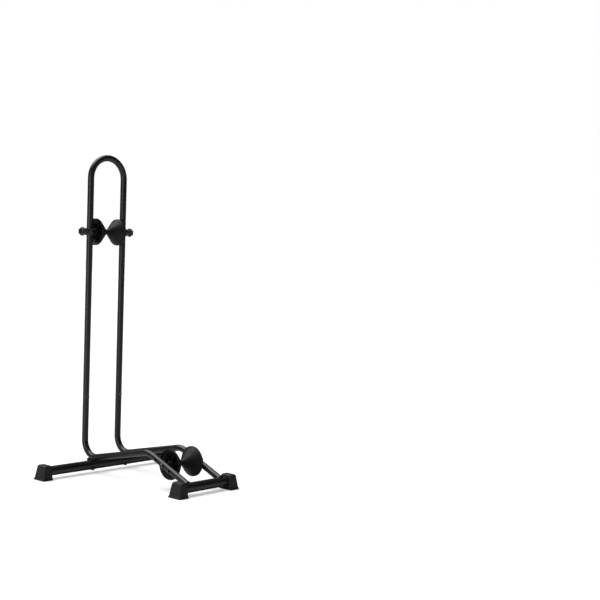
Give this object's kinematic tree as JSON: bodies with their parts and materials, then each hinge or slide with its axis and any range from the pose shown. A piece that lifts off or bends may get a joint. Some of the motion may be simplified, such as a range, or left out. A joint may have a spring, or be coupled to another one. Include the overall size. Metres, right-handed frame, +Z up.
{
  "type": "bicycle wheel floor stand",
  "caption": "Floor stand that holds one fat-tyred bicycle wheel between a tall tube hoop and a humped rail base, on an upper and a lower V-grooved roller.",
  "frame": {"origin": "on the floor under the middle of the stand's bounding box, on its mirror plane", "axes": "+X points to the open front where the wheel rolls in, +Y points across the stand along the bars and axles, +Z points up"},
  "size_m": [0.526, 0.514, 0.948],
  "materials": {
    "frame_paint": "satin black powder coat",
    "collar_paint": "satin black powder coat",
    "black_steel": "black zinc",
    "foot_plastic": "moulded, fine grain",
    "saddle_plastic": "moulded, matt",
    "roller_plastic": "moulded, semi-matt",
    "knob_plastic": "moulded, semi-matt"
  },
  "bodies": {
    "stand": {"hoop": "frame_paint", "rail_left": "frame_paint", "rail_right": "frame_paint", "rear_bar": "frame_paint", "front_bar": "frame_paint", "rear_foot_left": "foot_plastic", "rear_foot_right": "foot_plastic", "front_foot_left": "foot_plastic", "front_foot_right": "foot_plastic", "saddle_left": "saddle_plastic", "saddle_right": "saddle_plastic", "frame_bolts": "black_steel", "joint_screws": "black_steel", "lower_axle": "black_steel", "lower_nut": "black_steel", "lower_washers": "black_steel", "lower_spacers": "saddle_plastic"},
    "lower_roller": {"lower_cone_left": "roller_plastic", "lower_cone_right": "roller_plastic", "lower_bush": "black_steel"},
    "carriage": {"collar_left": "collar_paint", "collar_right": "collar_paint", "upper_axle": "black_steel", "upper_washers": "black_steel"},
    "upper_roller": {"upper_cone_left": "roller_plastic", "upper_cone_right": "roller_plastic", "upper_bush": "black_steel"},
    "clamp_knob_left": {"knob_left": "knob_plastic", "knob_stud_left": "black_steel"},
    "clamp_knob_right": {"knob_right": "knob_plastic", "knob_stud_right": "black_steel"}
  },
  "joints": [
    {"name": "lower_roller_spin", "type": "hinge", "parent": "stand", "child": "lower_roller", "pos_m": [0.139, 0, 0.06983], "axis": [0, 1, 0], "continuous": true},
    {"name": "carriage_height", "type": "slide", "parent": "stand", "child": "carriage", "axis": [0, 0, 1], "range_m": [-0.475, 0.135]},
    {"name": "upper_roller_spin", "type": "hinge", "parent": "carriage", "child": "upper_roller", "pos_m": [-0.223, 0, 0.717], "axis": [0, 1, 0], "continuous": true},
    {"name": "knob_left_turn", "type": "hinge", "parent": "carriage", "child": "clamp_knob_left", "pos_m": [-0.223, -0.088, 0.717], "axis": [0, -1, 0], "range_deg": [0, 360]},
    {"name": "knob_right_turn", "type": "hinge", "parent": "carriage", "child": "clamp_knob_right", "pos_m": [-0.223, 0.088, 0.717], "axis": [0, 1, 0], "range_deg": [0, 360]}
  ]
}
